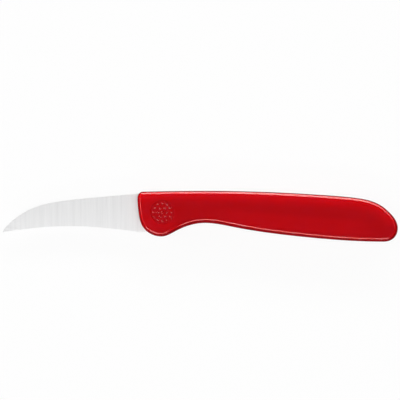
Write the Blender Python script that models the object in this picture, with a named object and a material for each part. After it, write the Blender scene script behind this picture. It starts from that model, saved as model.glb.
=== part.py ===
"""Paring knife: a short curved blade whose hidden tang is moulded into a one-piece plastic handle.

The knife lies on its side. X runs from the tip of the blade to the butt of the handle, Y runs up to
the back of the knife and Z is its thickness. The origin is under the middle of the knife, on the
surface that it lies on. Every size is in metres.

Outlines are drawn in side view, with X measured back from the handle's front face and Y up from the
highest line of its back, and each object is moved from there to the origin as a whole.
"""
import math

import bmesh
import bpy
import numpy as np

# Fit of the moulding round the steel, and how far cutters reach past what they cut
CLEARANCE = 0.0003
OVERRUN = 0.002

# Handle in side view: lengths run back from its front face, drops run down from its back
HANDLE_LENGTH = 0.1156
HANDLE_DEPTH = 0.0226
CORNER_LENGTH = 0.0024
CORNER_DROP = 0.0032
BACK_FRONT_DROP = 0.00035
CREST_X = 0.031
GUARD_X = 0.0106
GUARD_DEPTH = 0.0203
RECESS_X = 0.030
RECESS_DEPTH = 0.0143
HEEL_FROM_BUTT = 0.0065
BUTT_DROP = 0.0166
SHOULDER_FROM_BUTT = 0.0166
SHOULDER_DROP = 0.0034

# Points of the handle's outline between two of those above: share of the way in X, share of the
# way in Y, and the heading of the outline there in degrees
FRONT_FACE = (0.047, 0.374, -83)
FRONT_TURN = (0.34, 0.836, -43)
GUARD_SWEEP = (0.34, 0.417, 28)
PALM = (0.178, 0.25, -10.8)
BELLY = (0.585, 0.775, -5.6)
BUTT_LOW = (0.69, 0.235, 40)
BUTT_HIGH = (0.313, 0.64, 138)
BACK = (0.304, 0.54, 176.2)
SHOULDER_HEADING = 171.5
CORNER_HEADING = 181.5

# Handle across its thickness: a flat pad in front, a slightly thicker palm, and rounded edges
PAD_THICKNESS = 0.0114
PALM_THICKNESS = 0.0124
PAD_END_X = 0.018
PALM_START_X = 0.036
EDGE_ROUND_FRONT = 0.0015
EDGE_ROUND_BACK = 0.0026
EDGE_BLEND_START_X = 0.002
EDGE_BLEND_END_X = 0.012
CROWN = 0.0004
CORE_FROM_FRONT = 0.009
CORE_FROM_BUTT = 0.012

# Round grip pad on the handle's upper side: a shallow recess with a field of small pips
GRIP_X = 0.0112
GRIP_DROP = 0.0094
GRIP_DIAMETER = 0.0106
GRIP_RECESS = 0.00025
PIP_DIAMETER = 0.0010
PIP_PITCH = 0.0019
PIP_RINGS = 2

# Blade in side view
BLADE_LENGTH = 0.060
TIP_DROP = 0.0184
TIP_HEIGHT = 0.0003
SPINE_DROP = 0.0013
HEEL_DROP = 0.0182
HOLLOW_DROP = 0.0157

# Points of the blade's outline between its tip and the handle, as for the handle's outline
SPINE_TURN = (0.185, 0.552, 27)
SPINE_RUN = (0.55, 0.85, 6.2)
EDGE_HOLLOW_SHARE = 0.508
TIP_SPINE_HEADING = 55
FRONT_SPINE_HEADING = 5.3
TIP_EDGE_HEADING = 10
HEEL_HEADING = -8

# Blade across its thickness, and how its grind runs out inside the handle
STEEL_THICKNESS = 0.0012
EDGE_THICKNESS = 0.0002
SPINE_STEP_START_X = 0.001
SPINE_STEP_END_X = 0.005
GRIND_END_X = 0.005
GRIND_RUNOUT = 0.003
HEEL_SEAT_X = 0.009
HEEL_SLOPE = 0.0025

# Tang, and the holes in it that the moulding flows through
TANG_LENGTH = 0.072
TANG_DEPTH = 0.008
TANG_CORNER = 0.002
ANCHOR_DIAMETER = 0.0046
ANCHOR_SETBACK = 0.012

# Colours are linear
RED_PLASTIC = (0.44, 0.004, 0.009, 1.0)
STEEL_COLOUR = (0.79, 0.79, 0.79, 1.0)

# Facets
STEPS_PER_SEGMENT = 8
EDGE_STEPS = 6
EDGE_LAST_ANGLE = math.radians(84)
CROWN_STEPS = 2
LAND_SHARE = 0.5
ARC_STEPS = 6
HOLE_SIDES = 32
PIP_SIDES = 12
SMOOTH_ANGLE = math.radians(35)
FULL_TURN = 2 * math.pi


# Curves and rows of points in side view

def between(start, end, place):
    """Point and heading at a given share of the way, in X and in Y, from start to end."""
    share_x, share_y, heading = place
    x = start[0] + share_x * (end[0] - start[0])
    y = start[1] + share_y * (end[1] - start[1])
    return (x, y, heading)


def segment(start, end):
    """Points of a smooth curve from start up to, and without, end. Each is x, y and heading."""
    turn = math.radians((end[2] - start[2] + 180) % 360 - 180)
    chord = math.hypot(end[0] - start[0], end[1] - start[1])
    reach = chord / (3 * math.cos(turn / 4) ** 2)
    first = np.array(start[:2])
    last = np.array(end[:2])
    out = first + reach * direction(start[2])
    back = last - reach * direction(end[2])
    points = []
    for step in range(STEPS_PER_SEGMENT):
        t = step / STEPS_PER_SEGMENT
        s = 1 - t
        points.append(s ** 3 * first + 3 * s * s * t * out + 3 * s * t * t * back + t ** 3 * last)
    return points


def direction(heading):
    """Unit vector of a heading in degrees."""
    angle = math.radians(heading)
    return np.array((math.cos(angle), math.sin(angle)))


def open_curve(knots):
    """Points of a smooth curve through the knots, with both ends."""
    points = []
    for start, end in zip(knots, knots[1:]):
        points.extend(segment(start, end))
    points.append(np.array(knots[-1][:2]))
    return np.array(points)


def closed_curve(knots):
    """Points of a smooth closed curve through the knots."""
    return open_curve(knots + knots[:1])[:-1]


def smooth_step(low, high, value):
    """0 below low, 1 above high, and a smooth rise between them."""
    share = min(max((value - low) / (high - low), 0.0), 1.0)
    return share * share * (3 - 2 * share)


# Objects

def new_object(name, bm):
    """Adds the finished mesh to the scene, moved from the side view's origin to the knife's."""
    mesh = bpy.data.meshes.new(name)
    bm.normal_update()
    bm.to_mesh(mesh)
    bm.free()
    mesh.shade_smooth()
    mesh.set_sharp_from_angle(angle=SMOOTH_ANGLE)
    thing = bpy.data.objects.new(name, mesh)
    middle_x = (HANDLE_LENGTH - BLADE_LENGTH) / 2
    thing.location = (-middle_x, HANDLE_DEPTH / 2, PALM_THICKNESS / 2)
    bpy.context.scene.collection.objects.link(thing)
    return thing


def make_cutter(thing):
    """Marks an object as a tool that cuts others and isn't part of the knife."""
    thing.hide_render = True
    thing.display_type = 'WIRE'
    return thing


def cut(target, cutter):
    """Takes the cutter's shape out of the target."""
    modifier = target.modifiers.new(cutter.name, 'BOOLEAN')
    modifier.operation = 'DIFFERENCE'
    modifier.solver = 'EXACT'
    modifier.object = cutter


def round_bars(name, centres, diameter, low, high, sides):
    """Cutter of upright round bars from low to high, one at each centre."""
    bm = bmesh.new()
    for x, y in centres:
        bar = bmesh.ops.create_cone(bm, cap_ends=True, segments=sides, radius1=diameter / 2,
                                    radius2=diameter / 2, depth=high - low)
        bmesh.ops.translate(bm, verts=bar['verts'], vec=(x, y, (low + high) / 2))
    return make_cutter(new_object(name, bm))


def principled(name, colour, roughness, metallic):
    """Material with one Principled shader."""
    material = bpy.data.materials.new(name)
    material.use_nodes = True
    shader = material.node_tree.nodes['Principled BSDF']
    shader.inputs['Base Color'].default_value = colour
    shader.inputs['Roughness'].default_value = roughness
    shader.inputs['Metallic'].default_value = metallic
    return material


# Handle

def handle_outline():
    """Side view of the handle, anticlockwise from the top of its front face."""
    front_top = (0.0, -CORNER_DROP, -90)
    guard = (GUARD_X, -GUARD_DEPTH, 0)
    recess = (RECESS_X, -RECESS_DEPTH, 0)
    heel = (HANDLE_LENGTH - HEEL_FROM_BUTT, -HANDLE_DEPTH, 0)
    butt = (HANDLE_LENGTH, -BUTT_DROP, 90)
    shoulder = (HANDLE_LENGTH - SHOULDER_FROM_BUTT, -SHOULDER_DROP, SHOULDER_HEADING)
    crest = (CREST_X, 0.0, 180)
    corner = (CORNER_LENGTH, -BACK_FRONT_DROP, CORNER_HEADING)
    return closed_curve([
        front_top,
        between(front_top, guard, FRONT_FACE),
        between(front_top, guard, FRONT_TURN),
        guard,
        between(guard, recess, GUARD_SWEEP),
        recess,
        between(recess, heel, PALM),
        between(recess, heel, BELLY),
        heel,
        between(heel, butt, BUTT_LOW),
        butt,
        between(butt, shoulder, BUTT_HIGH),
        shoulder,
        between(shoulder, crest, BACK),
        crest,
        corner,
    ])


def inward_normals(outline):
    """Unit vectors that point into an anticlockwise outline."""
    along = np.roll(outline, -1, axis=0) - np.roll(outline, 1, axis=0)
    normals = np.stack((-along[:, 1], along[:, 0]), axis=1)
    return normals / np.linalg.norm(normals, axis=1)[:, None]


def middle_drop(outline, x):
    """Height halfway between the outline's back and its belly at x."""
    back = int(np.argmax(outline[:, 0]))
    belly = outline[:back + 1]
    top = outline[back:][::-1]
    belly_y = np.interp(x, belly[:, 0], belly[:, 1])
    top_y = np.interp(x, top[:, 0], top[:, 1])
    return (belly_y + top_y) / 2


def half_thickness(x):
    """Half the handle's thickness at x: the pad's in front, the palm's behind."""
    swell = smooth_step(PAD_END_X, PALM_START_X, x)
    return (PAD_THICKNESS + swell * (PALM_THICKNESS - PAD_THICKNESS)) / 2


def edge_width(x):
    """How far the rounded edge reaches in from the outline at x."""
    blend = smooth_step(EDGE_BLEND_START_X, EDGE_BLEND_END_X, x)
    return EDGE_ROUND_FRONT + blend * (EDGE_ROUND_BACK - EDGE_ROUND_FRONT)


def handle_rings():
    """Rings of points from the outline up to the flat land in the middle of the upper side."""
    outline = handle_outline()
    normals = inward_normals(outline)
    widths = np.array([edge_width(x) for x in outline[:, 0]])
    rings = []
    for step in range(EDGE_STEPS + 1):
        angle = EDGE_LAST_ANGLE * step / EDGE_STEPS
        inset = outline + normals * (widths * (1 - math.cos(angle)))[:, None]
        rise = math.sin(angle) / math.sin(EDGE_LAST_ANGLE)
        rings.append([(x, y, (half_thickness(x) - CROWN) * rise) for x, y in inset])
    core = []
    for x, _, _ in rings[-1]:
        core_x = min(max(x, CORE_FROM_FRONT), HANDLE_LENGTH - CORE_FROM_BUTT)
        core.append((core_x, middle_drop(outline, core_x)))
    towards_core = np.array(core) - inset
    for step in range(1, CROWN_STEPS + 1):
        share = step / CROWN_STEPS
        row = inset + towards_core * LAND_SHARE * share
        rings.append([(x, y, half_thickness(x) - CROWN * (1 - share) ** 2) for x, y in row])
    return rings


def fill_land(bm, ring):
    """Closes the innermost ring with triangles between its belly row and its back row."""
    front = min(range(len(ring)), key=lambda i: ring[i].co.x)
    turned = ring[front:] + ring[:front]
    back = max(range(len(turned)), key=lambda i: turned[i].co.x)
    low = turned[:back + 1]
    high = [turned[0]] + turned[:back - 1:-1]
    bm.faces.new((low[0], low[1], high[1]))
    i = 1
    j = 1
    while i < len(low) - 2 or j < len(high) - 2:
        step_low = i < len(low) - 2 and (j >= len(high) - 2 or low[i + 1].co.x < high[j + 1].co.x)
        if step_low:
            bm.faces.new((low[i], low[i + 1], high[j]))
            i += 1
        else:
            bm.faces.new((low[i], high[j + 1], high[j]))
            j += 1
    bm.faces.new((low[i], low[-1], high[j]))


def add_side(bm, outline_ring, rings, sign):
    """Skins one side of the handle, from the shared outline to its flat land."""
    previous = outline_ring
    count = len(outline_ring)
    for points in rings:
        ring = [bm.verts.new((x, y, sign * z)) for x, y, z in points]
        for i in range(count):
            j = (i + 1) % count
            bm.faces.new((previous[i], previous[j], ring[j], ring[i]))
        previous = ring
    fill_land(bm, previous)


def make_handle():
    """Solid handle: both sides, their edges and the cavity that the steel sits in."""
    bm = bmesh.new()
    rings = handle_rings()
    outline_ring = [bm.verts.new(point) for point in rings[0]]
    add_side(bm, outline_ring, rings[1:], 1)
    add_side(bm, outline_ring, rings[1:], -1)
    bmesh.ops.recalc_face_normals(bm, faces=bm.faces)
    handle = new_object('handle', bm)
    handle.data.materials.append(principled('red_plastic', RED_PLASTIC, 0.22, 0.0))
    cut(handle, make_cavity_cutter())
    cut(handle, make_grip_cutter())
    return handle


def grip_pips():
    """Centres of the pips: rings of six, twelve and so on round one in the middle."""
    centres = [(GRIP_X, -GRIP_DROP)]
    for ring in range(1, PIP_RINGS + 1):
        count = 6 * ring
        for i in range(count):
            angle = FULL_TURN * i / count
            x = GRIP_X + ring * PIP_PITCH * math.cos(angle)
            y = -GRIP_DROP + ring * PIP_PITCH * math.sin(angle)
            centres.append((x, y))
    return centres


def make_grip_cutter():
    """Round recess on the upper side that leaves the pips standing."""
    face = half_thickness(GRIP_X)
    floor = face - GRIP_RECESS
    recess = round_bars('grip_recess', [(GRIP_X, -GRIP_DROP)], GRIP_DIAMETER, floor,
                        face + OVERRUN, 2 * HOLE_SIDES)
    pips = round_bars('grip_pips', grip_pips(), PIP_DIAMETER, floor - OVERRUN,
                      face + 2 * OVERRUN, PIP_SIDES)
    cut(recess, pips)
    return recess


# Blade and tang

def blade_curves():
    """Spine and edge of the visible blade, from its tip to the handle's front face."""
    tip_low = (-BLADE_LENGTH, -TIP_DROP, TIP_EDGE_HEADING)
    tip_high = (-BLADE_LENGTH, TIP_HEIGHT - TIP_DROP, TIP_SPINE_HEADING)
    front_high = (0.0, -SPINE_DROP, FRONT_SPINE_HEADING)
    front_low = (0.0, -HEEL_DROP, HEEL_HEADING)
    hollow = (-BLADE_LENGTH * (1 - EDGE_HOLLOW_SHARE), -HOLLOW_DROP, 0)
    spine = open_curve([
        tip_high,
        between(tip_high, front_high, SPINE_TURN),
        between(tip_high, front_high, SPINE_RUN),
        front_high,
    ])
    edge = open_curve([tip_low, hollow, front_low])
    return spine, edge


def tang_top():
    """Height of the tang's upper side, which keeps the tang in the middle of the finger recess."""
    return -(RECESS_DEPTH - TANG_DEPTH) / 2


def blade_section(x, grow):
    """Four corners of the steel's section at x: upper side, then lower side, spine before edge."""
    spine, edge = blade_curves()
    spine_x = np.append(spine[:, 0], (SPINE_STEP_START_X, SPINE_STEP_END_X))
    spine_y = np.append(spine[:, 1], (-SPINE_DROP, tang_top()))
    high = np.interp(x, spine_x, spine_y)
    low = np.interp(x, edge[:, 0], edge[:, 1])
    full_depth = HEEL_DROP - SPINE_DROP
    taper = min((high - low) / full_depth, 1.0) if x < 0 else 1.0
    runout = smooth_step(GRIND_END_X, GRIND_END_X + GRIND_RUNOUT, x)
    spine_half = (EDGE_THICKNESS + taper * (STEEL_THICKNESS - EDGE_THICKNESS)) / 2 + grow
    edge_half = (EDGE_THICKNESS + runout * (STEEL_THICKNESS - EDGE_THICKNESS)) / 2 + grow
    return [
        (x, high + grow, spine_half),
        (x, low - grow, edge_half),
        (x, low - grow, -edge_half),
        (x, high + grow, -spine_half),
    ]


def tang_outline(grow):
    """Tang behind the blade's heel in side view, from the heel round its end to the spine."""
    high = tang_top() + grow
    low = tang_top() - TANG_DEPTH - grow
    end = TANG_LENGTH + grow
    radius = TANG_CORNER + grow
    points = [(HEEL_SEAT_X + HEEL_SLOPE + grow, low)]
    for centre_y, first_angle in ((low + radius, -90), (high - radius, 0)):
        for step in range(ARC_STEPS + 1):
            angle = math.radians(first_angle + 90 * step / ARC_STEPS)
            x = end - radius + radius * math.cos(angle)
            points.append((x, centre_y + radius * math.sin(angle)))
    return points


def steel_mesh(stations, grow):
    """Blade and tang between the first station and the tang's end, grown by a margin all round."""
    bm = bmesh.new()
    sections = []
    for x in stations:
        sections.append([bm.verts.new(corner) for corner in blade_section(x, grow)])
    bm.faces.new(sections[0])
    for first, second in zip(sections, sections[1:]):
        for i in range(4):
            j = (i + 1) % 4
            bm.faces.new((first[i], second[i], second[j], first[j]))
    half = STEEL_THICKNESS / 2 + grow
    outline = tang_outline(grow)
    upper = [bm.verts.new((x, y, half)) for x, y in outline]
    lower = [bm.verts.new((x, y, -half)) for x, y in outline]
    last = sections[-1]
    upper = [last[1]] + upper + [last[0]]
    lower = [last[2]] + lower + [last[3]]
    bm.faces.new(upper)
    bm.faces.new(lower)
    for i in range(len(upper) - 1):
        bm.faces.new((upper[i], upper[i + 1], lower[i + 1], lower[i]))
    bmesh.ops.recalc_face_normals(bm, faces=bm.faces)
    return bm


def inner_stations(grow):
    """Places inside the handle where the steel's section changes."""
    middle = GRIND_END_X + GRIND_RUNOUT / 2
    places = {0.0, SPINE_STEP_START_X, SPINE_STEP_END_X, GRIND_END_X, middle,
              GRIND_END_X + GRIND_RUNOUT}
    seat = HEEL_SEAT_X + grow
    return sorted(place for place in places if place < seat) + [seat]


def anchor_centres():
    """Centres of the two holes through the tang."""
    y = tang_top() - TANG_DEPTH / 2
    front = HEEL_SEAT_X + HEEL_SLOPE + ANCHOR_SETBACK
    return [(front, y), (TANG_LENGTH - ANCHOR_SETBACK, y)]


def make_blade():
    """One steel blank: ground blade, heel and tang, with the two anchor holes."""
    spine, _ = blade_curves()
    stations = list(spine[:-1, 0]) + inner_stations(0.0)
    blade = new_object('blade', steel_mesh(stations, 0.0))
    blade.data.materials.append(principled('ground_steel', STEEL_COLOUR, 0.35, 1.0))
    reach = STEEL_THICKNESS / 2 + OVERRUN
    cut(blade, round_bars('anchor_holes', anchor_centres(), ANCHOR_DIAMETER, -reach, reach,
                          HOLE_SIDES))
    return blade


def make_cavity_cutter():
    """Space in the handle for the heel and tang, with posts left standing in the tang's holes."""
    stations = [-OVERRUN] + inner_stations(CLEARANCE)
    cavity = make_cutter(new_object('steel_cavity', steel_mesh(stations, CLEARANCE)))
    reach = STEEL_THICKNESS / 2 + OVERRUN
    cut(cavity, round_bars('anchor_posts', anchor_centres(), ANCHOR_DIAMETER - 2 * CLEARANCE,
                           -reach, reach, HOLE_SIDES))
    return cavity


def main():
    """Builds the knife in a scene emptied of objects."""
    for thing in list(bpy.data.objects):
        bpy.data.objects.remove(thing, do_unlink=True)
    make_blade()
    make_handle()


main()
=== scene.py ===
"""Looks of the paring knife: a ground steel blade in a glossy red moulded handle.

Both pieces are finer versions of the CAD nodes that they replace. They are drawn, as in the CAD
model, in side view: X runs back from the handle's front face, Y up from the highest line of its
back and Z from the middle of the knife's thickness. Every size is in metres.
"""
import math

import bmesh
import bpy
import numpy as np
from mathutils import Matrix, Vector


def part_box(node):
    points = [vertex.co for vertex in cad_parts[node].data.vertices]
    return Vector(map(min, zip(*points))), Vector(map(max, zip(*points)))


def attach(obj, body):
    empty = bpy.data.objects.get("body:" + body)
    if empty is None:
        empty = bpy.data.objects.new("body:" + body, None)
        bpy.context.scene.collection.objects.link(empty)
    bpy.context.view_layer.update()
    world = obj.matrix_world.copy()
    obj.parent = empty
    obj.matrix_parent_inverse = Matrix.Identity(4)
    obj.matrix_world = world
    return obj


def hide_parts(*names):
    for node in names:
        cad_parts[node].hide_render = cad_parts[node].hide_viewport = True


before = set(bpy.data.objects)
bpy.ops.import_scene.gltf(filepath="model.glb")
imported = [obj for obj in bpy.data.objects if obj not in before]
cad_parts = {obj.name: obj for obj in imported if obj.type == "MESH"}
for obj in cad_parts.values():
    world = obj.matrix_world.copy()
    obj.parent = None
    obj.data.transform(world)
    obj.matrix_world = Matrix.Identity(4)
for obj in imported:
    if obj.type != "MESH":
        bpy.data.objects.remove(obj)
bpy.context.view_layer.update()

# Sizes from the frame
HANDLE_LOW, HANDLE_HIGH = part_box("handle")
BLADE_LOW, BLADE_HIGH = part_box("blade")
HANDLE_LENGTH = HANDLE_HIGH.x - HANDLE_LOW.x
HANDLE_DEPTH = HANDLE_HIGH.y - HANDLE_LOW.y
PALM_THICKNESS = HANDLE_HIGH.z - HANDLE_LOW.z
BLADE_LENGTH = HANDLE_LOW.x - BLADE_LOW.x
TANG_LENGTH = BLADE_HIGH.x - HANDLE_LOW.x
STEEL_THICKNESS = BLADE_HIGH.z - BLADE_LOW.z
ORIGIN = Vector((HANDLE_LOW.x, HANDLE_HIGH.y, (HANDLE_LOW.z + HANDLE_HIGH.z) / 2))

# Handle in side view, as in the CAD model
CORNER_LENGTH = 0.0024
CORNER_DROP = 0.0032
BACK_FRONT_DROP = 0.00035
CREST_X = 0.031
GUARD_X = 0.0106
GUARD_DEPTH = 0.0203
RECESS_X = 0.030
RECESS_DEPTH = 0.0143
HEEL_FROM_BUTT = 0.0065
BUTT_DROP = 0.0166
SHOULDER_FROM_BUTT = 0.0166
SHOULDER_DROP = 0.0034

# Points between two of those: share of the way in X, share in Y, heading in degrees
FRONT_FACE = (0.047, 0.374, -83)
FRONT_TURN = (0.34, 0.836, -43)
GUARD_SWEEP = (0.34, 0.417, 28)
PALM = (0.178, 0.25, -10.8)
BELLY = (0.585, 0.775, -5.6)
BUTT_LOW = (0.69, 0.235, 40)
BUTT_HIGH = (0.313, 0.64, 138)
BACK = (0.304, 0.54, 176.2)
SHOULDER_HEADING = 171.5
CORNER_HEADING = 181.5

# Handle across its thickness
PAD_THICKNESS = 0.0114
PAD_END_X = 0.018
PALM_START_X = 0.036
CORE_FROM_FRONT = 0.009
CORE_FROM_BUTT = 0.010
LAND_SHARE = 0.9

# Face: flat, but it rounds off along the back, more widely on the palm than on the pad. The slope
# starts and is full where the back's normal has these shares in Y. The back line goes on straight
# past the front for this.
BACK_SLOPE = math.radians(27)
PAD_SLOPE_WIDTH = 0.004
PALM_SLOPE_WIDTH = 0.007
SLOPE_POWER = 3
SLOPE_STARTS_AT = 0.6
SLOPE_FULL_AT = 0.95
SLOPE_PROBE = 0.0001
BACK_REACH = 0.01

# Moulded edge: drafted wall, round corner, bevel, and a shoulder against the face. Angles are those
# of the surface's normal above the parting plane. The belly has a wide bevel, given along X, and a
# narrow shoulder. The back has a rounder corner, a narrow bevel and a wide shoulder, and this form
# starts and is full where the outline's normal has these shares in Y.
BACK_STARTS_AT = 0.2
BACK_FULL_AT = 0.95
DRAFT_ANGLE = math.radians(0.25)
CREASE_RADIUS = 0.0002
BELLY_CORNER_RADIUS = 0.0003
BELLY_BEVEL_ANGLES = (math.radians(45), math.radians(56))
BELLY_BEVEL_X = (0.0, 0.030, 0.095)
BELLY_BEVEL_WIDTHS = (0.00088, 0.00128, 0.00098)
BELLY_SHOULDER_ANGLES = (math.radians(61.5), math.radians(65.5))
BELLY_SHOULDER_WIDTH = 0.00036
BACK_CORNER_RADIUS = 0.0006
BACK_BEVEL_ANGLES = (math.radians(45), math.radians(51))
BACK_BEVEL_WIDTH = 0.00025
BACK_SHOULDER_ANGLES = (math.radians(57.9), math.radians(59.6))
BACK_SHOULDER_WIDTH = 0.00072
BACK_RIM = (BACK_CORNER_RADIUS * (1 - math.cos(BACK_BEVEL_ANGLES[0])) + BACK_BEVEL_WIDTH
            + BACK_SHOULDER_WIDTH)

# Painted tone of the plastic: painted light and shade, given as how much lighter its colour is
# painted, as a share of it, and darker where negative. The edge's outer corner and its bevels are
# painted darker, as shade, and its shoulder under the highlight lighter. The back's painted light
# spreads over the face, and reaches as far round the butt as the normal's share in Y. The front is
# painted lighter. The belly's painted light changes along X. It starts and is full, and fades and
# is gone, at these distances below the middle of the face.
PAINTED_TONE_ATTRIBUTE = 'lightening'
CORNER_PAINTED_SHADE = -0.5
BELLY_BEVEL_PAINTED_SHADE = -0.12
BACK_BEVEL_PAINTED_SHADE = -0.3
SHOULDER_PAINTED_LIGHT = 0.55
BACK_PAINTED_LIGHT = 0.25
BACK_PAINTED_LIGHT_REACH = (0.0015, 0.0066)
BACK_PAINTED_LIGHT_SHARES = (0.0, 0.6)
FRONT_PAINTED_LIGHT = 0.1
FRONT_PAINTED_LIGHT_REACH = (0.002, 0.012)
BELLY_PAINTED_LIGHT_X = (0.003, 0.007, 0.015, 0.018, 0.030, 0.045, 0.092, 0.108)
BELLY_PAINTED_LIGHTS = (0.04, 0.12, 0.12, 0.0, 0.0, 0.13, 0.12, 0.0)
BELLY_PAINTED_LIGHT_START = (-0.001, 0.002)
BELLY_PAINTED_LIGHT_FADE = (0.0055, 0.009)

# Round grip pad
GRIP_X = 0.0112
GRIP_DROP = 0.0094
GRIP_DIAMETER = 0.0106
GRIP_RECESS = 0.00016
GRIP_FILLET = 0.00012
PIP_DIAMETER = 0.0013
PIP_PITCH = 0.0020
PIP_RINGS = 2
PIPS_PER_RING = 6
PIP_HEIGHT = 0.00014

# Blade in side view, as in the CAD model
TIP_DROP = 0.0184
TIP_HEIGHT = 0.0003
SPINE_DROP = 0.0013
HEEL_DROP = 0.0182
HOLLOW_DROP = 0.0157
SPINE_TURN = (0.185, 0.552, 27)
SPINE_RUN = (0.55, 0.85, 6.2)
EDGE_HOLLOW_SHARE = 0.508
TIP_SPINE_HEADING = 55
FRONT_SPINE_HEADING = 5.3
TIP_EDGE_HEADING = 10
HEEL_HEADING = -8

# Blade across its thickness: a flat grind, a honed bevel and eased spine corners. The honed bevel
# takes at most a share of the blade's depth. The spine stays sharp where its pieces are shorter
# than a share of the thickness.
TIP_THICKNESS = 0.0001
EDGE_THICKNESS = 0.00003
HONED_WIDTH = 0.00022
HONED_DEPTH_SHARE = 0.25
HONED_THICKNESS = 0.00006
SPINE_EASE = 0.00004
SPINE_EASE_SEGMENTS = 2
SPINE_EASE_PROFILE = 0.5
SPINE_SHORT_SHARE = 0.125
SPINE_FACE_TILT = 0.5
SPINE_STEP_START_X = 0.001
SPINE_STEP_END_X = 0.005
GRIND_END_X = 0.005
GRIND_RUNOUT = 0.003
HEEL_SEAT_X = 0.009
HEEL_SLOPE = 0.0025

# Tang and the fit of the moulding round it
TANG_DEPTH = 0.008
TANG_CORNER = 0.002
ANCHOR_DIAMETER = 0.0046
ANCHOR_SETBACK = 0.012
MOULDED_FIT = 0.00005
OVERRUN = 0.002

# Facets
STEPS_PER_SEGMENT = 20
CORNER_STEPS = 7
BEVEL_STEPS = 5
CREASE_STEPS = 4
FACE_STEPS = 16
FACE_STEP_POWER = 1.3
ARC_STEPS = 10
PIP_SIDES = 24
PIP_LAYERS = 7
HOLE_SIDES = 48
RIM_SIDES = 96
FILLET_STEPS = 4
SMOOTH_ANGLE = math.radians(35)
GRIND_SHARP_ANGLE = math.radians(6)
FULL_TURN = 2 * math.pi

# Camera: straight above the knife, with a long lens. The picture's width is measured at the height
# of the middle of the knife's thickness.
PICTURE_WIDTH = 0.178
PICTURE_CENTRE = (0.00003, 0.00723)
CAMERA_DISTANCE = 1.5
SENSOR_WIDTH = 36.0

# Red plastic: linear colours, heights and depths in metres. Clouds and ripple are given as features
# a metre and detail, the rub marks as features a metre along each axis.
PLASTIC_DARK = (0.49, 0.0018, 0.0060, 1.0)
PLASTIC_LIGHT = (0.51, 0.0022, 0.0070, 1.0)
PLASTIC_CLOUDS = (90.0, 3.0)
PLASTIC_RIPPLE = (260.0, 1.0)
PLASTIC_RIPPLE_HEIGHT = 0.0000008
PLASTIC_RUBS = (300.0, 2500.0, 2500.0)
PLASTIC_RUB_DETAIL = 4.0
PLASTIC_ROUGHNESS = (0.09, 0.11)
PLASTIC_IOR = 1.5
PLASTIC_DEPTH_WEIGHT = 1.0
PLASTIC_DEPTH_RADIUS = (1.0, 0.05, 0.05)
PLASTIC_DEPTH = 0.0008

# Ground steel: the lines run along Y and repeat quickly along X. The spine and the other sheared
# sides are darker: faces whose normal has a share in Z below a limit.
STEEL_DARK = (0.685, 0.685, 0.69, 1.0)
STEEL_LIGHT = (0.98, 0.98, 0.98, 1.0)
STEEL_SHEARED = 0.6
SHEARED_BELOW = 0.5
STEEL_ROUGHNESS = (0.36, 0.44)
STEEL_ANISOTROPY = 0.7
STEEL_GRAZING_TINT = (0.25, 0.25, 0.25, 1.0)
GRIND_LINES = (6000.0, 60.0, 60.0)
GRIND_LINE_DETAIL = 3.0
GRIND_LINE_SHARE = 0.5
GRIND_BANDS = (560.0, 12.0, 12.0)
GRIND_BAND_DETAIL = 2.0
GRIND_DEPTH = 0.000004
GRIND_MAP = 'grind'

# The places of the Mix node's colour sockets, whose names are not unique
MIX_FACTOR = 0
MIX_FIRST = 6
MIX_SECOND = 7
MIX_RESULT = 2

# Studio: angles in degrees and radiances, where 1 shows as white. A panel's row gives its azimuth,
# elevation, width and height as they are seen from the knife, its radiance and what it lights. The
# matt panels show in no reflection, and the gloss panels show only in reflections. The gloss panels
# are narrow, so that few views see them mirrored in the flat face or the blade.
WHITE = (1.0, 1.0, 1.0, 1.0)
LAMP_DISTANCE = 2.5
WORLD_GREY = 0.05
HORIZON_BAND = 0.03
PANELS = (
    ('panel_right', 0, 69, 70, 18, 1.45, 'all'),
    ('panel_left', 180, 69, 70, 18, 2.8, 'all'),
    ('panel_front', -90, 69, 70, 18, 3.0, 'all'),
    ('matt_butt', 39, 24, 20, 13, 2.4, 'matt'),
    ('matt_right', 59, 24, 20, 13, 6.2, 'matt'),
    ('matt_back', 79, 24, 20, 13, 10.0, 'matt'),
    ('matt_middle', 99, 24, 20, 13, 8.4, 'matt'),
    ('matt_left', 115, 24, 13, 13, 7.0, 'matt'),
    ('gloss_butt', 39, 30.5, 20, 5.0, 2.6, 'gloss'),
    ('gloss_right', 59, 27.9, 20, 4.0, 6.2, 'gloss'),
    ('gloss_back', 79, 27.5, 20, 3.4, 10.0, 'gloss'),
    ('gloss_middle', 99, 27.5, 20, 3.4, 8.4, 'gloss'),
    ('gloss_left', 115, 27.5, 13, 3.4, 7.0, 'gloss'),
    ('matt_tip', 170, 26, 36, 32, 3.0, 'matt'),
    ('gloss_tip', 170, 37, 36, 7, 3.0, 'gloss'),
    ('strip_guard', -120, 37, 38, 7, 7.0, 'all'),
    ('strip_belly', -85, 37, 34, 7, 6.0, 'all'),
)

# Floor: how much of it is plain white near the knife, where the plain white takes over, and the
# grain as features a metre and detail
FLOOR_SIZE = 60.0
FLOOR_GLOW = 0.93
FLOOR_NEAR = 0.15
FLOOR_FAR = 0.8
FLOOR_GRAIN = (700.0, 2.0)
FLOOR_DARK = (0.88, 0.88, 0.88, 1.0)
FLOOR_LIGHT = (0.92, 0.92, 0.92, 1.0)


# Curves and rows of points in side view

def between(start, end, place):
    """Point and heading at a given share of the way, in X and in Y, from start to end."""
    share_x, share_y, heading = place
    x = start[0] + share_x * (end[0] - start[0])
    y = start[1] + share_y * (end[1] - start[1])
    return (x, y, heading)


def direction(heading):
    """Unit vector of a heading in degrees."""
    angle = math.radians(heading)
    return np.array((math.cos(angle), math.sin(angle)))


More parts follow.
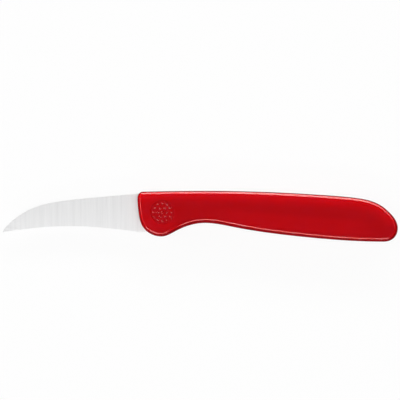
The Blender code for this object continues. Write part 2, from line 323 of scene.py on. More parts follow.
def segment(start, end):
    """Points of a smooth curve from start up to, and without, end. Each is x, y and heading."""
    turn = math.radians((end[2] - start[2] + 180) % 360 - 180)
    chord = math.hypot(end[0] - start[0], end[1] - start[1])
    reach = chord / (3 * math.cos(turn / 4) ** 2)
    first = np.array(start[:2])
    last = np.array(end[:2])
    out = first + reach * direction(start[2])
    back = last - reach * direction(end[2])
    points = []
    for step in range(STEPS_PER_SEGMENT):
        t = step / STEPS_PER_SEGMENT
        s = 1 - t
        points.append(s ** 3 * first + 3 * s * s * t * out + 3 * s * t * t * back + t ** 3 * last)
    return points


def open_curve(knots):
    """Points of a smooth curve through the knots, with both ends."""
    points = []
    for start, end in zip(knots, knots[1:]):
        points.extend(segment(start, end))
    points.append(np.array(knots[-1][:2]))
    return np.array(points)


def closed_curve(knots):
    """Points of a smooth closed curve through the knots."""
    return open_curve(knots + knots[:1])[:-1]


def smooth_step(low, high, value):
    """0 below low, 1 above high, and a smooth rise between them."""
    share = min(max((value - low) / (high - low), 0.0), 1.0)
    return share * share * (3 - 2 * share)


# Objects and modifiers

def new_object(name, bm):
    """Adds the finished mesh to the scene, moved from the side view's origin to the knife's."""
    mesh = bpy.data.meshes.new(name)
    bmesh.ops.translate(bm, verts=bm.verts, vec=ORIGIN)
    bm.normal_update()
    bm.to_mesh(mesh)
    bm.free()
    thing = bpy.data.objects.new(name, mesh)
    bpy.context.scene.collection.objects.link(thing)
    return thing


def cut(target, cutter):
    """Takes the cutter's shape out of the target and deletes the cutter."""
    modifier = target.modifiers.new(cutter.name, 'BOOLEAN')
    modifier.operation = 'DIFFERENCE'
    modifier.solver = 'EXACT'
    modifier.object = cutter
    evaluated = target.evaluated_get(bpy.context.evaluated_depsgraph_get())
    mesh = bpy.data.meshes.new_from_object(evaluated)
    target.modifiers.clear()
    target.data = mesh
    bpy.data.objects.remove(cutter, do_unlink=True)


def turned_mesh(bm, centre, profile, sides):
    """Solid of revolution about an upright line, from rows of radius and height, top row last."""
    rows = []
    for radius, height in profile:
        row = []
        for i in range(sides):
            angle = FULL_TURN * i / sides
            x = centre[0] + radius * math.cos(angle)
            y = centre[1] + radius * math.sin(angle)
            row.append(bm.verts.new((x, y, height)))
        rows.append(row)
    for lower, upper in zip(rows, rows[1:]):
        for i in range(sides):
            j = (i + 1) % sides
            bm.faces.new((lower[i], lower[j], upper[j], upper[i]))
    bm.faces.new(rows[0][::-1])
    bm.faces.new(rows[-1])


def shade(thing, sharp_angle):
    """Smooth shading, with sharp edges where two faces turn by more than the angle."""
    thing.data.shade_smooth()
    thing.data.set_sharp_from_angle(angle=sharp_angle)


def keep_faces_flat(thing):
    """Weights normals by face area, so large flat faces shade flat beside small fillets."""
    modifier = thing.modifiers.new('weighted_normals', 'WEIGHTED_NORMAL')
    modifier.keep_sharp = True


# Handle

def handle_outline():
    """Side view of the handle, anticlockwise from the top of its front face."""
    front_top = (0.0, -CORNER_DROP, -90)
    guard = (GUARD_X, -GUARD_DEPTH, 0)
    recess = (RECESS_X, -RECESS_DEPTH, 0)
    heel = (HANDLE_LENGTH - HEEL_FROM_BUTT, -HANDLE_DEPTH, 0)
    butt = (HANDLE_LENGTH, -BUTT_DROP, 90)
    shoulder = (HANDLE_LENGTH - SHOULDER_FROM_BUTT, -SHOULDER_DROP, SHOULDER_HEADING)
    crest = (CREST_X, 0.0, 180)
    corner = (CORNER_LENGTH, -BACK_FRONT_DROP, CORNER_HEADING)
    return closed_curve([
        front_top,
        between(front_top, guard, FRONT_FACE),
        between(front_top, guard, FRONT_TURN),
        guard,
        between(guard, recess, GUARD_SWEEP),
        recess,
        between(recess, heel, PALM),
        between(recess, heel, BELLY),
        heel,
        between(heel, butt, BUTT_LOW),
        butt,
        between(butt, shoulder, BUTT_HIGH),
        shoulder,
        between(shoulder, crest, BACK),
        crest,
        corner,
    ])


def inward_normals(outline):
    """Unit vectors that point into an anticlockwise outline."""
    along = np.roll(outline, -1, axis=0) - np.roll(outline, 1, axis=0)
    normals = np.stack((-along[:, 1], along[:, 0]), axis=1)
    return normals / np.linalg.norm(normals, axis=1)[:, None]


def middle_drop(outline, x):
    """Height halfway between the outline's back and its belly at x."""
    back = int(np.argmax(outline[:, 0]))
    belly = outline[:back + 1]
    top = outline[back:][::-1]
    belly_y = np.interp(x, belly[:, 0], belly[:, 1])
    top_y = np.interp(x, top[:, 0], top[:, 1])
    return (belly_y + top_y) / 2


def mixed(share, first, second):
    """Value at a share of the way from the first value to the second."""
    return first + share * (second - first)


def half_thickness(x):
    """Half the handle's thickness at x: the pad's in front, the palm's behind."""
    return mixed(smooth_step(PAD_END_X, PALM_START_X, x), PAD_THICKNESS, PALM_THICKNESS) / 2


def back_line(outline, normals):
    """Rows along the back from past the front to the butt: X, Y and the normal's share in Y."""
    butt = int(np.argmax(outline[:, 0]))
    corner = len(outline) - STEPS_PER_SEGMENT
    line = np.column_stack((outline, -normals[:, 1]))[corner:butt:-1]
    past_front = line[0] + np.array((-BACK_REACH, 0.0, 0.0))
    return np.vstack((past_front, line))


def from_back(line, place):
    """Distance of a place from the back line, and the normal's share in Y where it is nearest."""
    starts = line[:-1, :2]
    along = line[1:, :2] - starts
    shares = np.clip(((place - starts) * along).sum(axis=1) / (along ** 2).sum(axis=1), 0.0, 1.0)
    distances = np.linalg.norm(place - starts - along * shares[:, None], axis=1)
    nearest = int(np.argmin(distances))
    return distances[nearest], mixed(shares[nearest], line[nearest, 2], line[nearest + 1, 2])


def face_height(line, place):
    """Height of the face above the parting plane, which sinks towards the back line."""
    distance, share = from_back(line, place)
    palm_share = smooth_step(PAD_END_X, PALM_START_X, place[0])
    width = mixed(palm_share, PAD_SLOPE_WIDTH, PALM_SLOPE_WIDTH)
    left = min(max(1 - (distance - BACK_RIM) / width, 0.0), 1.0)
    fall = math.tan(BACK_SLOPE) * width / SLOPE_POWER * left ** SLOPE_POWER
    return half_thickness(place[0]) - smooth_step(SLOPE_STARTS_AT, SLOPE_FULL_AT, share) * fall


def painted_face_tone(outline, line, place):
    """How much lighter the plastic's colour is painted at a place on the face, as a share of it."""
    distance, share = from_back(line, place)
    back_painted_light = BACK_PAINTED_LIGHT * (1 - smooth_step(*BACK_PAINTED_LIGHT_REACH, distance))
    front_painted_light = FRONT_PAINTED_LIGHT * (1 - smooth_step(*FRONT_PAINTED_LIGHT_REACH, place[0]))
    below_middle = middle_drop(outline, place[0]) - place[1]
    belly_painted_light = np.interp(place[0], BELLY_PAINTED_LIGHT_X, BELLY_PAINTED_LIGHTS)
    belly_painted_light *= smooth_step(*BELLY_PAINTED_LIGHT_START, below_middle)
    belly_painted_light *= 1 - smooth_step(*BELLY_PAINTED_LIGHT_FADE, below_middle)
    return smooth_step(*BACK_PAINTED_LIGHT_SHARES, share) * back_painted_light + front_painted_light + belly_painted_light


def mixed_angles(share, first, second):
    """Pair of angles at a share of the way from the first pair to the second."""
    return mixed(share, first[0], second[0]), mixed(share, first[1], second[1])


def arc(radius, angles, steps, lightening):
    """Steps in and up an arc whose normal turns between two angles, each with its painted tone."""
    moves = []
    for step in range(steps):
        a = mixed(step / steps, *angles)
        b = mixed((step + 1) / steps, *angles)
        step_in = radius * (math.cos(a) - math.cos(b))
        moves.append((step_in, radius * (math.sin(b) - math.sin(a)), lightening))
    return moves


def radius_for(width, angles):
    """Radius of an arc that is as wide as told while its normal turns between two angles."""
    return width / (math.cos(angles[0]) - math.cos(angles[1]))


def edge_moves(x, back_share):
    """Steps in and up over the moulded edge above its wall, and the angle that it ends with."""
    corner_radius = mixed(back_share, BELLY_CORNER_RADIUS, BACK_CORNER_RADIUS)
    bevel = mixed_angles(back_share, BELLY_BEVEL_ANGLES, BACK_BEVEL_ANGLES)
    belly_width = np.interp(x, BELLY_BEVEL_X, BELLY_BEVEL_WIDTHS)
    bevel_width = mixed(back_share, belly_width, BACK_BEVEL_WIDTH)
    shoulder = mixed_angles(back_share, BELLY_SHOULDER_ANGLES, BACK_SHOULDER_ANGLES)
    shoulder_width = mixed(back_share, BELLY_SHOULDER_WIDTH, BACK_SHOULDER_WIDTH)
    # Painted shade on the outer corner and the bevel, painted light on the crease and the shoulder.
    bevel_painted_shade = mixed(back_share, BELLY_BEVEL_PAINTED_SHADE, BACK_BEVEL_PAINTED_SHADE)
    moves = arc(corner_radius, (DRAFT_ANGLE, bevel[0]), CORNER_STEPS, CORNER_PAINTED_SHADE)
    moves += arc(radius_for(bevel_width, bevel), bevel, BEVEL_STEPS, bevel_painted_shade)
    moves += arc(CREASE_RADIUS, (bevel[1], shoulder[0]), CREASE_STEPS, SHOULDER_PAINTED_LIGHT)
    moves += arc(radius_for(shoulder_width, shoulder), shoulder, BEVEL_STEPS, SHOULDER_PAINTED_LIGHT)
    return moves, shoulder[1]


def edge_profile(outline, line, place, normal):
    """Rows of inset, height and painted tone over the moulded edge, from parting line to face."""
    back_share = smooth_step(BACK_STARTS_AT, BACK_FULL_AT, -normal[1])
    moves, angle = edge_moves(place[0], back_share)
    rim = place + normal * sum(move[0] for move in moves)
    rise = face_height(line, rim)
    slope = (face_height(line, rim + normal * SLOPE_PROBE) - rise) / SLOPE_PROBE
    face_angle = math.pi / 2 - math.atan(slope)
    rim_painted_light = painted_face_tone(outline, line, rim)
    moves += arc(CREASE_RADIUS, (angle, face_angle), CREASE_STEPS, rim_painted_light)
    wall = rise - sum(move[1] for move in moves)
    inset = 0.0
    height = 0.0
    profile = [(inset, height, 0.0)]
    for move_in, move_up, lightening in [(wall * math.tan(DRAFT_ANGLE), wall, 0.0)] + moves:
        inset += move_in
        height += move_up
        profile.append((inset, height, lightening))
    return profile


def handle_rings():
    """Rings of X, Y, Z and painted tone, from parting line to a strip along the face's middle."""
    outline = handle_outline()
    normals = inward_normals(outline)
    line = back_line(outline, normals)
    columns = []
    for start, normal in zip(outline, normals):
        core_x = min(max(start[0], CORE_FROM_FRONT), HANDLE_LENGTH - CORE_FROM_BUTT)
        core = np.array((core_x, middle_drop(outline, core_x)))
        column = []
        for inset, height, lightening in edge_profile(outline, line, start, normal):
            place = start + normal * inset
            column.append((place[0], place[1], height, lightening))
        rim = np.array(column[-1][:2])
        for step in range(1, FACE_STEPS + 1):
            share = (step / FACE_STEPS) ** FACE_STEP_POWER
            place = rim + (core - rim) * LAND_SHARE * share
            lightening = painted_face_tone(outline, line, place)
            column.append((*place, face_height(line, place), lightening))
        columns.append(column)
    return [list(ring) for ring in zip(*columns)]


def fill_land(bm, ring):
    """Closes the innermost ring with triangles between its belly row and its back row."""
    front = min(range(len(ring)), key=lambda i: ring[i].co.x)
    turned = ring[front:] + ring[:front]
    back = max(range(len(turned)), key=lambda i: turned[i].co.x)
    low = turned[:back + 1]
    high = [turned[0]] + turned[:back - 1:-1]
    bm.faces.new((low[0], low[1], high[1]))
    i = 1
    j = 1
    while i < len(low) - 2 or j < len(high) - 2:
        step_low = i < len(low) - 2 and (j >= len(high) - 2 or low[i + 1].co.x < high[j + 1].co.x)
        if step_low:
            bm.faces.new((low[i], low[i + 1], high[j]))
            i += 1
        else:
            bm.faces.new((low[i], high[j + 1], high[j]))
            j += 1
    bm.faces.new((low[i], low[-1], high[j]))


def add_ring(bm, points, sign):
    """Corners of one ring, on the upper or the lower side, each with its painted tone."""
    layer = bm.verts.layers.float[PAINTED_TONE_ATTRIBUTE]
    ring = []
    for x, y, z, lightening in points:
        corner = bm.verts.new((x, y, sign * z))
        corner[layer] = lightening
        ring.append(corner)
    return ring


def add_side(bm, outline_ring, rings, sign):
    """Skins one side of the handle, from the shared outline to its flat land."""
    previous = outline_ring
    count = len(outline_ring)
    for points in rings:
        ring = add_ring(bm, points, sign)
        for i in range(count):
            j = (i + 1) % count
            bm.faces.new((previous[i], previous[j], ring[j], ring[i]))
        previous = ring
    fill_land(bm, previous)


def painted_tone_by_place(thing):
    """Painted tone of each corner of the mesh, by its place."""
    layer = thing.data.attributes[PAINTED_TONE_ATTRIBUTE].data
    return {tuple(corner.co): layer[corner.index].value for corner in thing.data.vertices}


def restore_painted_tone(thing, painted_tones):
    """Gives corners that were there before the cuts their own painted tone, and all others none."""
    layer = thing.data.attributes[PAINTED_TONE_ATTRIBUTE].data
    for corner in thing.data.vertices:
        layer[corner.index].value = painted_tones.get(tuple(corner.co), 0.0)


def make_handle():
    """Solid handle with the moulded-in space for the steel and the recess of the grip pad."""
    bm = bmesh.new()
    bm.verts.layers.float.new(PAINTED_TONE_ATTRIBUTE)
    rings = handle_rings()
    outline_ring = add_ring(bm, rings[0], 1)
    add_side(bm, outline_ring, rings[1:], 1)
    add_side(bm, outline_ring, rings[1:], -1)
    bmesh.ops.recalc_face_normals(bm, faces=bm.faces)
    handle = new_object('moulded_handle', bm)
    # Painted light and shade, kept by place so that it can be given back after the cuts.
    painted_tones = painted_tone_by_place(handle)
    cut(handle, make_cavity_cutter())
    cut(handle, make_grip_cutter())
    restore_painted_tone(handle, painted_tones)
    shade(handle, SMOOTH_ANGLE)
    keep_faces_flat(handle)
    return handle


def grip_pip_centres():
    """Centres of the pips: rings of six, twelve and so on round one in the middle."""
    centres = [(GRIP_X, -GRIP_DROP)]
    for ring in range(1, PIP_RINGS + 1):
        count = PIPS_PER_RING * ring
        for i in range(count):
            angle = FULL_TURN * i / count
            x = GRIP_X + ring * PIP_PITCH * math.cos(angle)
            y = -GRIP_DROP + ring * PIP_PITCH * math.sin(angle)
            centres.append((x, y))
    return centres


def make_grip_cutter():
    """Shallow dish with a filleted floor, cut into the handle's upper side."""
    floor = half_thickness(GRIP_X) - GRIP_RECESS
    radius = GRIP_DIAMETER / 2
    profile = []
    for step in range(FILLET_STEPS + 1):
        angle = math.pi / 2 * step / FILLET_STEPS
        row_radius = radius - GRIP_FILLET * (1 - math.sin(angle))
        profile.append((row_radius, floor + GRIP_FILLET * (1 - math.cos(angle))))
    profile.append((radius, floor + OVERRUN))
    bm = bmesh.new()
    turned_mesh(bm, (GRIP_X, -GRIP_DROP), profile, RIM_SIDES)
    dish = new_object('grip_dish', bm)
    cut(dish, make_grip_pips())
    return dish


def make_grip_pips():
    """Soft humps that the dish leaves standing as pips."""
    floor = half_thickness(GRIP_X) - GRIP_RECESS
    profile = [(PIP_DIAMETER / 2, floor - OVERRUN)]
    for layer in range(PIP_LAYERS):
        share = layer / PIP_LAYERS
        height = PIP_HEIGHT * (1 - math.cos(math.pi * share)) / 2
        profile.append((PIP_DIAMETER / 2 * (1 - share), floor + height))
    bm = bmesh.new()
    for centre in grip_pip_centres():
        turned_mesh(bm, centre, profile, PIP_SIDES)
    return new_object('grip_pips', bm)


# Blade and tang

def blade_curves():
    """Spine and edge of the visible blade, from its tip to the handle's front face."""
    tip_low = (-BLADE_LENGTH, -TIP_DROP, TIP_EDGE_HEADING)
    tip_high = (-BLADE_LENGTH, TIP_HEIGHT - TIP_DROP, TIP_SPINE_HEADING)
    front_high = (0.0, -SPINE_DROP, FRONT_SPINE_HEADING)
    front_low = (0.0, -HEEL_DROP, HEEL_HEADING)
    hollow = (-BLADE_LENGTH * (1 - EDGE_HOLLOW_SHARE), -HOLLOW_DROP, 0)
    spine = open_curve([
        tip_high,
        between(tip_high, front_high, SPINE_TURN),
        between(tip_high, front_high, SPINE_RUN),
        front_high,
    ])
    edge = open_curve([tip_low, hollow, front_low])
    return spine, edge


def tang_top():
    """Height of the tang's upper side, which keeps the tang in the middle of the finger recess."""
    return -(RECESS_DEPTH - TANG_DEPTH) / 2


def blade_heights(x):
    """Heights of the steel's spine and edge at x."""
    spine, edge = blade_curves()
    spine_x = np.append(spine[:, 0], (SPINE_STEP_START_X, SPINE_STEP_END_X))
    spine_y = np.append(spine[:, 1], (-SPINE_DROP, tang_top()))
    return np.interp(x, spine_x, spine_y), np.interp(x, edge[:, 0], edge[:, 1])


def blade_section(x, grow):
    """Corners of the steel's section at x: down the upper side and back up the lower side."""
    high, low = blade_heights(x)
    full_depth = HEEL_DROP - SPINE_DROP
    taper = min((high - low) / full_depth, 1.0) if x < 0 else 1.0
    runout = smooth_step(GRIND_END_X, GRIND_END_X + GRIND_RUNOUT, x)
    honed_width = min(HONED_WIDTH, (high - low) * HONED_DEPTH_SHARE)
    spine_half = (TIP_THICKNESS + taper * (STEEL_THICKNESS - TIP_THICKNESS)) / 2
    honed_half = (HONED_THICKNESS + runout * (STEEL_THICKNESS - HONED_THICKNESS)) / 2
    edge_half = (EDGE_THICKNESS + runout * (STEEL_THICKNESS - EDGE_THICKNESS)) / 2
    side = [(high + grow, spine_half), (low + honed_width, honed_half), (low - grow, edge_half)]
    upper = [(x, y, half + grow) for y, half in side]
    lower = [(x, y, -half - grow) for y, half in reversed(side)]
    return upper + lower


def tang_outline(grow):
    """Tang behind the blade's heel in side view, from the heel round its end to the spine."""
    high = tang_top() + grow
    low = tang_top() - TANG_DEPTH - grow
    end = TANG_LENGTH + grow
    radius = TANG_CORNER + grow
    points = [(HEEL_SEAT_X + HEEL_SLOPE + grow, low)]
    for centre_y, first_angle in ((low + radius, -90), (high - radius, 0)):
        for step in range(ARC_STEPS + 1):
            angle = math.radians(first_angle + 90 * step / ARC_STEPS)
            x = end - radius + radius * math.cos(angle)
            points.append((x, centre_y + radius * math.sin(angle)))
    return points


def steel_mesh(stations, grow):
    """Blade and tang between the first station and the tang's end, grown by a margin all round."""
    bm = bmesh.new()
    sections = []
    for x in stations:
        sections.append([bm.verts.new(corner) for corner in blade_section(x, grow)])
    bm.faces.new(sections[0])
    corners = len(sections[0])
    for first, second in zip(sections, sections[1:]):
        for i in range(corners):
            j = (i + 1) % corners
            bm.faces.new((first[i], second[i], second[j], first[j]))
    half = STEEL_THICKNESS / 2 + grow
    outline = tang_outline(grow)
    last = sections[-1]
    side = corners // 2
    upper = last[:side] + [bm.verts.new((x, y, half)) for x, y in outline]
    lower = last[:side - 1:-1] + [bm.verts.new((x, y, -half)) for x, y in outline]
    bm.faces.new(upper)
    bm.faces.new(lower)
    upper_rim = upper[side - 1:] + upper[:1]
    lower_rim = lower[side - 1:] + lower[:1]
    for i in range(len(upper_rim) - 1):
        bm.faces.new((upper_rim[i], upper_rim[i + 1], lower_rim[i + 1], lower_rim[i]))
    bmesh.ops.recalc_face_normals(bm, faces=bm.faces)
    return bm


def inner_stations(grow):
    """Places inside the handle where the steel's section changes."""
    runout = [GRIND_END_X, GRIND_END_X + GRIND_RUNOUT / 2, GRIND_END_X + GRIND_RUNOUT]
    places = {0.0, SPINE_STEP_START_X, SPINE_STEP_END_X, *runout}
    seat = HEEL_SEAT_X + grow
    return sorted(place for place in places if place < seat) + [seat]


def anchor_centres():
    """Centres of the two holes through the tang."""
    y = tang_top() - TANG_DEPTH / 2
    front = HEEL_SEAT_X + HEEL_SLOPE + ANCHOR_SETBACK
    return [(front, y), (TANG_LENGTH - ANCHOR_SETBACK, y)]


def anchor_bars(name, diameter):
    """Cutter of two upright round bars, one in each hole of the tang."""
    bm = bmesh.new()
    for x, y in anchor_centres():
        bar = bmesh.ops.create_cone(bm, cap_ends=True, segments=HOLE_SIDES, radius1=diameter / 2,
                                    radius2=diameter / 2, depth=STEEL_THICKNESS + 2 * OVERRUN)
        bmesh.ops.translate(bm, verts=bar['verts'], vec=(x, y, 0.0))
    return new_object(name, bm)


def ease_spine(bm):
    """Rounds the two long corners of the visible blade's spine."""
    shortest = STEEL_THICKNESS * SPINE_SHORT_SHARE
    corners = []
    for edge in bm.edges:
        if max(vert.co.x for vert in edge.verts) > 0 or edge.calc_length() < shortest:
            continue
        sides = [face for face in edge.link_faces if abs(face.normal.z) < SPINE_FACE_TILT]
        if len(sides) == 1 and sides[0].normal.y > 0:
            corners.append(edge)
    bmesh.ops.bevel(bm, geom=corners, offset=SPINE_EASE, segments=SPINE_EASE_SEGMENTS,
                    profile=SPINE_EASE_PROFILE, affect='EDGES', clamp_overlap=True)


def add_map(thing):
    """Gives the mesh a map whose U runs along X, which is the way the grind spreads light."""
    layer = thing.data.uv_layers.new(name=GRIND_MAP)
    for loop in thing.data.loops:
        place = thing.data.vertices[loop.vertex_index].co
        layer.data[loop.index].uv = (place.x / PICTURE_WIDTH, place.y / PICTURE_WIDTH)


def make_blade():
    """One steel blank: ground blade, heel and tang, with the two anchor holes."""
    spine, _ = blade_curves()
    stations = list(spine[:-1, 0]) + inner_stations(0.0)
    bm = steel_mesh(stations, 0.0)
    bm.normal_update()
    ease_spine(bm)
    blade = new_object('ground_blade', bm)
    cut(blade, anchor_bars('anchor_holes', ANCHOR_DIAMETER))
    shade(blade, GRIND_SHARP_ANGLE)
    add_map(blade)
    return blade


def make_cavity_cutter():
    """Space in the handle for the heel and tang, with posts left standing in the tang's holes."""
    stations = [-OVERRUN] + inner_stations(MOULDED_FIT)
    cavity = new_object('steel_cavity', steel_mesh(stations, MOULDED_FIT))
    cut(cavity, anchor_bars('anchor_posts', ANCHOR_DIAMETER - 2 * MOULDED_FIT))
    return cavity


# Materials

class Nodes:
    """Short forms for adding and linking the nodes of one node tree."""

    def __init__(self, owner):
        owner.use_nodes = True
        self.tree = owner.node_tree
        self.tree.nodes.clear()

    def fill(self, socket, value):
        """Links an output to an input, or gives the input a plain value."""
        if isinstance(value, bpy.types.NodeSocket):
            self.tree.links.new(value, socket)
        else:
            socket.default_value = value

    def add(self, kind, settings=None, **inputs):
        """New node with its settings, and with each named input filled."""
        node = self.tree.nodes.new(kind)
        for name, value in (settings or {}).items():
            setattr(node, name, value)
        for name, value in inputs.items():
            self.fill(node.inputs[name.replace('_', ' ')], value)
        return node

    def maths(self, operation, first, second=0.0):
        """Result of an operation on one or two values, each a number or an output."""
        node = self.add('ShaderNodeMath', {'operation': operation})
        self.fill(node.inputs[0], first)
        self.fill(node.inputs[1], second)
        return node.outputs['Value']

    def noise(self, vector, scale, detail):
        """Noise between 0 and 1 at the given number of features a metre."""
        node = self.add('ShaderNodeTexNoise', Vector=vector, Scale=scale, Detail=detail)
        return node.outputs['Fac']

    def stretched_noise(self, vector, scale, detail):
        """Noise between 0 and 1 with its own number of features a metre along each axis."""
        stretched = self.add('ShaderNodeMapping', Vector=vector, Scale=scale)
        return self.noise(stretched.outputs['Vector'], 1.0, detail)

    def spread(self, value, low, high):
        """A value between 0 and 1 spread over low to high."""
        node = self.add('ShaderNodeMapRange', Value=value, To_Min=low, To_Max=high)
        return node.outputs['Result']

    def blend(self, factor, first, second):
        """Colour between two colours."""
        node = self.add('ShaderNodeMix', {'data_type': 'RGBA'})
        self.fill(node.inputs[MIX_FACTOR], factor)
        self.fill(node.inputs[MIX_FIRST], first)
        self.fill(node.inputs[MIX_SECOND], second)
        return node.outputs[MIX_RESULT]

    def scaled(self, colour, factor):
        """The colour times a factor."""
        node = self.add('ShaderNodeVectorMath', {'operation': 'SCALE'}, Scale=factor)
        self.fill(node.inputs[0], colour)
        return node.outputs['Vector']

    def mix_shaders(self, factor, first, second):
        """Shader between two shaders."""
        node = self.add('ShaderNodeMixShader')
        for socket, value in zip(node.inputs, (factor, first, second)):
            self.fill(socket, value)
        return node.outputs['Shader']

    def bump(self, height, distance):
        """Normal raised by a height between 0 and 1 times a distance in metres."""
        node = self.add('ShaderNodeBump', Height=height, Distance=distance)
        return node.outputs['Normal']


def red_plastic():
    """Glossy red moulding, with a slight ripple, fine rub marks and painted light and shade."""
    material = bpy.data.materials.new('red_plastic')
    nodes = Nodes(material)
    place = nodes.add('ShaderNodeTexCoord').outputs['Object']
    clouds = nodes.noise(place, *PLASTIC_CLOUDS)
    ripple = nodes.noise(place, *PLASTIC_RIPPLE)
    rubbed = nodes.stretched_noise(place, PLASTIC_RUBS, PLASTIC_RUB_DETAIL)
    colour = nodes.blend(clouds, PLASTIC_DARK, PLASTIC_LIGHT)
    # Painted light and shade: the colour is made lighter or darker by the mesh's painted tone.
    lightening = nodes.add('ShaderNodeAttribute', {'attribute_name': PAINTED_TONE_ATTRIBUTE}).outputs['Fac']
    lit = nodes.scaled(colour, nodes.maths('ADD', lightening, 1.0))
    normal = nodes.bump(ripple, PLASTIC_RIPPLE_HEIGHT)
    shader = nodes.add('ShaderNodeBsdfPrincipled', Base_Color=lit, IOR=PLASTIC_IOR,
                       Roughness=nodes.spread(rubbed, *PLASTIC_ROUGHNESS),
                       Subsurface_Weight=PLASTIC_DEPTH_WEIGHT,
                       Subsurface_Radius=PLASTIC_DEPTH_RADIUS,
                       Subsurface_Scale=PLASTIC_DEPTH, Normal=normal)
    nodes.add('ShaderNodeOutputMaterial', Surface=shader.outputs['BSDF'])
    return material


def ground_steel():
    """Stainless steel ground across the blade: fine lines along Y that spread light along X."""
    material = bpy.data.materials.new('ground_steel')
    nodes = Nodes(material)
    place = nodes.add('ShaderNodeTexCoord').outputs['Object']
    lines = nodes.stretched_noise(place, GRIND_LINES, GRIND_LINE_DETAIL)
    bands = nodes.stretched_noise(place, GRIND_BANDS, GRIND_BAND_DETAIL)
    tone = nodes.maths('ADD', nodes.spread(lines, 0.0, GRIND_LINE_SHARE),
                       nodes.spread(bands, 0.0, 1 - GRIND_LINE_SHARE))
    colour = nodes.blend(tone, STEEL_DARK, STEEL_LIGHT)
    normals = nodes.add('ShaderNodeNewGeometry').outputs['Normal']
    facing = nodes.add('ShaderNodeSeparateXYZ', Vector=normals)
    ground = nodes.maths('GREATER_THAN', nodes.maths('ABSOLUTE', facing.outputs['Z']),
                         SHEARED_BELOW)
    toned = nodes.scaled(colour, nodes.spread(ground, STEEL_SHEARED, 1.0))
    tangent = nodes.add('ShaderNodeTangent', {'direction_type': 'UV_MAP', 'uv_map': GRIND_MAP})
    shader = nodes.add('ShaderNodeBsdfPrincipled', Base_Color=toned, Metallic=1.0,
                       Roughness=nodes.spread(bands, *STEEL_ROUGHNESS),
                       Anisotropic=STEEL_ANISOTROPY, Specular_Tint=STEEL_GRAZING_TINT,
                       Normal=nodes.bump(lines, GRIND_DEPTH), Tangent=tangent.outputs['Tangent'])
    nodes.add('ShaderNodeOutputMaterial', Surface=shader.outputs['BSDF'])
    return material


def finish_with(thing, material):
    """Gives the piece one material."""
    thing.data.materials.clear()
    thing.data.materials.append(material)


# Studio

def seen_ray(nodes, glossy_share):
    """1 for a ray from the camera or through glass, the share for a glossy one, 0 for others."""
    path = nodes.add('ShaderNodeLightPath')
    glossy = nodes.maths('MULTIPLY', path.outputs['Is Glossy Ray'], glossy_share)
    seen = nodes.maths('MAXIMUM', path.outputs['Is Camera Ray'], glossy)
    return nodes.maths('MAXIMUM', seen, path.outputs['Is Transmission Ray'])


def floor_material():
    """White floor that keeps a pale shadow near the knife and ends in plain white far from it."""
    material = bpy.data.materials.new('white_floor')
    nodes = Nodes(material)
    place = nodes.add('ShaderNodeTexCoord').outputs['Object']
    far = nodes.add('ShaderNodeVectorMath', {'operation': 'LENGTH'})
    nodes.fill(far.inputs[0], place)
    lightening = nodes.add('ShaderNodeMapRange', {'interpolation_type': 'SMOOTHSTEP'},
                     Value=far.outputs['Value'], From_Min=FLOOR_NEAR, From_Max=FLOOR_FAR,
                     To_Min=FLOOR_GLOW, To_Max=1.0)
    grain = nodes.noise(place, *FLOOR_GRAIN)
    paper = nodes.add('ShaderNodeBsdfDiffuse', Color=nodes.blend(grain, FLOOR_DARK, FLOOR_LIGHT))
    white = nodes.add('ShaderNodeEmission', Color=WHITE, Strength=1.0)
    factor = nodes.maths('MULTIPLY', lightening.outputs['Result'], seen_ray(nodes, 1.0))
    mix = nodes.mix_shaders(factor, paper.outputs['BSDF'], white.outputs['Emission'])
    nodes.add('ShaderNodeOutputMaterial', Surface=mix)
    return material


def make_floor():
    """Floor under the knife, wide enough for views from low down."""
    bm = bmesh.new()
    bmesh.ops.create_grid(bm, x_segments=1, y_segments=1, size=FLOOR_SIZE / 2)
    mesh = bpy.data.meshes.new('floor')
    bm.to_mesh(mesh)
    bm.free()
    floor = bpy.data.objects.new('floor', mesh)
    bpy.context.scene.collection.objects.link(floor)
    finish_with(floor, floor_material())


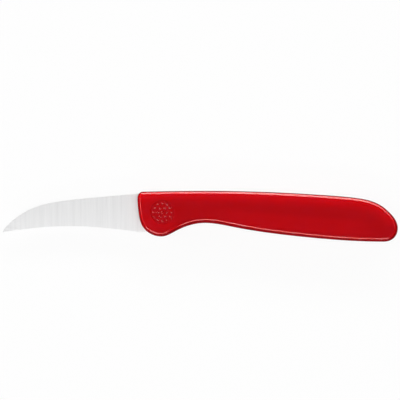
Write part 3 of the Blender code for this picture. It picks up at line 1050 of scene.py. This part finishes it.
def make_world():
    """White where it is looked at, white in reflections near the horizon, and else dim grey."""
    world = bpy.data.worlds.new('studio')
    nodes = Nodes(world)
    toward = nodes.add('ShaderNodeTexCoord').outputs['Generated']
    split = nodes.add('ShaderNodeSeparateXYZ', Vector=toward)
    low_down = nodes.maths('LESS_THAN', split.outputs['Z'], HORIZON_BAND)
    white = nodes.add('ShaderNodeBackground', Color=WHITE, Strength=1.0)
    dim = nodes.add('ShaderNodeBackground', Color=WHITE, Strength=WORLD_GREY)
    mix = nodes.mix_shaders(seen_ray(nodes, low_down), dim.outputs['Background'],
                            white.outputs['Background'])
    nodes.add('ShaderNodeOutputWorld', Surface=mix)
    bpy.context.scene.world = world


def add_panel(name, azimuth, elevation, width, height, radiance, lights):
    """Softbox that faces the knife and spans width in azimuth and height in elevation."""
    lamp = bpy.data.lights.new(name, 'AREA')
    lamp.shape = 'RECTANGLE'
    flat = math.cos(math.radians(elevation))
    lamp.size = 2 * LAMP_DISTANCE * flat * math.tan(math.radians(width / 2))
    lamp.size_y = 2 * LAMP_DISTANCE * math.tan(math.radians(height / 2))
    lamp.energy = radiance * math.pi * lamp.size * lamp.size_y
    panel = bpy.data.objects.new(name, lamp)
    turn = math.radians(azimuth)
    aim = Vector((flat * math.cos(turn), flat * math.sin(turn), math.sin(math.radians(elevation))))
    panel.location = aim * LAMP_DISTANCE
    panel.rotation_euler = (-aim).to_track_quat('-Z', 'Y').to_euler()
    panel.visible_camera = False
    panel.visible_glossy = lights != 'matt'
    panel.visible_diffuse = lights != 'gloss'
    bpy.context.scene.collection.objects.link(panel)


def make_lamps():
    """Three high panels, matt and gloss panels behind the back and off the tip, and two strips."""
    for panel in PANELS:
        add_panel(*panel)


def make_camera():
    """Camera straight above the knife."""
    data = bpy.data.cameras.new('camera')
    data.sensor_width = SENSOR_WIDTH
    data.lens = SENSOR_WIDTH * CAMERA_DISTANCE / PICTURE_WIDTH
    camera = bpy.data.objects.new('camera', data)
    camera.location = (PICTURE_CENTRE[0], PICTURE_CENTRE[1], ORIGIN.z + CAMERA_DISTANCE)
    bpy.context.scene.collection.objects.link(camera)
    bpy.context.scene.camera = camera


# Knife

def add_piece(thing, material, node):
    """Finishes a piece, puts it on the knife's one body and hides the CAD node it stands for."""
    finish_with(thing, material)
    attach(thing, 'root')
    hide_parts(node)


def main():
    """Builds the knife, the studio and the camera."""
    make_camera()
    make_floor()
    make_world()
    make_lamps()
    add_piece(make_handle(), red_plastic(), 'handle')
    add_piece(make_blade(), ground_steel(), 'blade')
    bpy.context.scene.view_settings.view_transform = 'Standard'


main()
